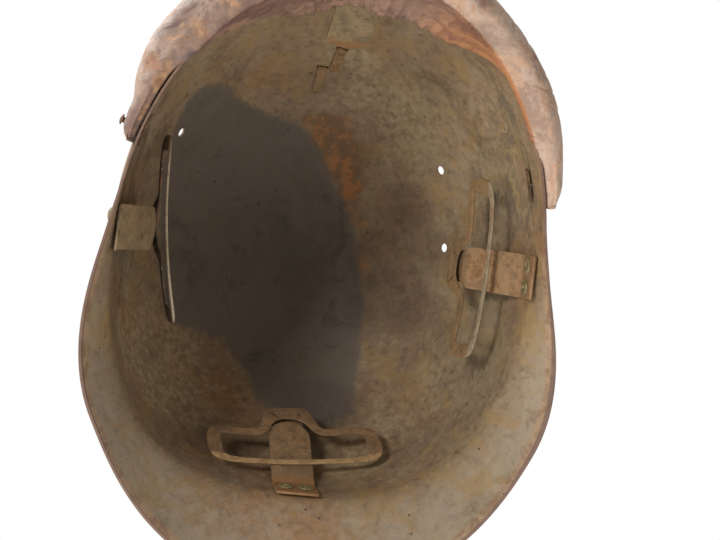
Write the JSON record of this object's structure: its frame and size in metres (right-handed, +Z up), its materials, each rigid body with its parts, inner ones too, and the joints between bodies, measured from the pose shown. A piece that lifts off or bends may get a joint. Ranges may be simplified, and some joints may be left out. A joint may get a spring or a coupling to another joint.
{
  "type": "motorized troops helmet",
  "caption": "Steel helmet shell with a flared neck guard, padded leather brow bumper, riveted spring tongues and loose liner frames inside.",
  "frame": {"origin": "middle of the head opening on the floor plane that the rim stands on, under the middle of the dome", "axes": "+Z up to the crown, -Y to the brow and its bumper, +X to the wearer's left"},
  "size_m": [0.2216, 0.3039, 0.162],
  "materials": {
    "shell_paint": "worn matt khaki olive paint with rust",
    "bumper_leather": "worn, dry, rust stained",
    "bumper_stuffing": "coarse matted fibre",
    "tongue_steel": "rusted, with remains of khaki paint",
    "frame_steel": "rusted, bright on the bar edges",
    "rivet_brass": "dull, greenish",
    "badge_metal": "rusted stamped sheet"
  },
  "bodies": {
    "helmet": {"shell": "shell_paint", "bumper_cover": "bumper_leather", "bumper_filling": "bumper_stuffing", "left_bumper_pin": "rivet_brass", "right_bumper_pin": "rivet_brass", "badge_disc": "badge_metal", "badge_tabs": "badge_metal", "front_tongue": "tongue_steel", "rear_tongue": "tongue_steel", "left_tongue": "tongue_steel", "right_tongue": "tongue_steel", "front_rivets": "rivet_brass", "rear_rivets": "rivet_brass", "left_rivets": "rivet_brass", "right_rivets": "rivet_brass"},
    "rear_frame": {"rear_frame": "frame_steel"},
    "left_frame": {"left_frame": "frame_steel"},
    "right_frame": {"right_frame": "frame_steel"}
  },
  "joints": [
    {"name": "rear_frame_lift", "type": "slide", "parent": "helmet", "child": "rear_frame", "axis": [0, -0.4772, 0.8788], "range_m": [0, 0.034]},
    {"name": "left_frame_rock", "type": "hinge", "parent": "helmet", "child": "left_frame", "pos_m": [0.07747, 0.00635, 0.07429], "axis": [0, 1, 0], "range_deg": [-12, 8]},
    {"name": "right_frame_rock", "type": "hinge", "parent": "helmet", "child": "right_frame", "pos_m": [-0.08166, 0.00635, 0.07429], "axis": [0, -1, 0], "range_deg": [-26, 6]}
  ]
}
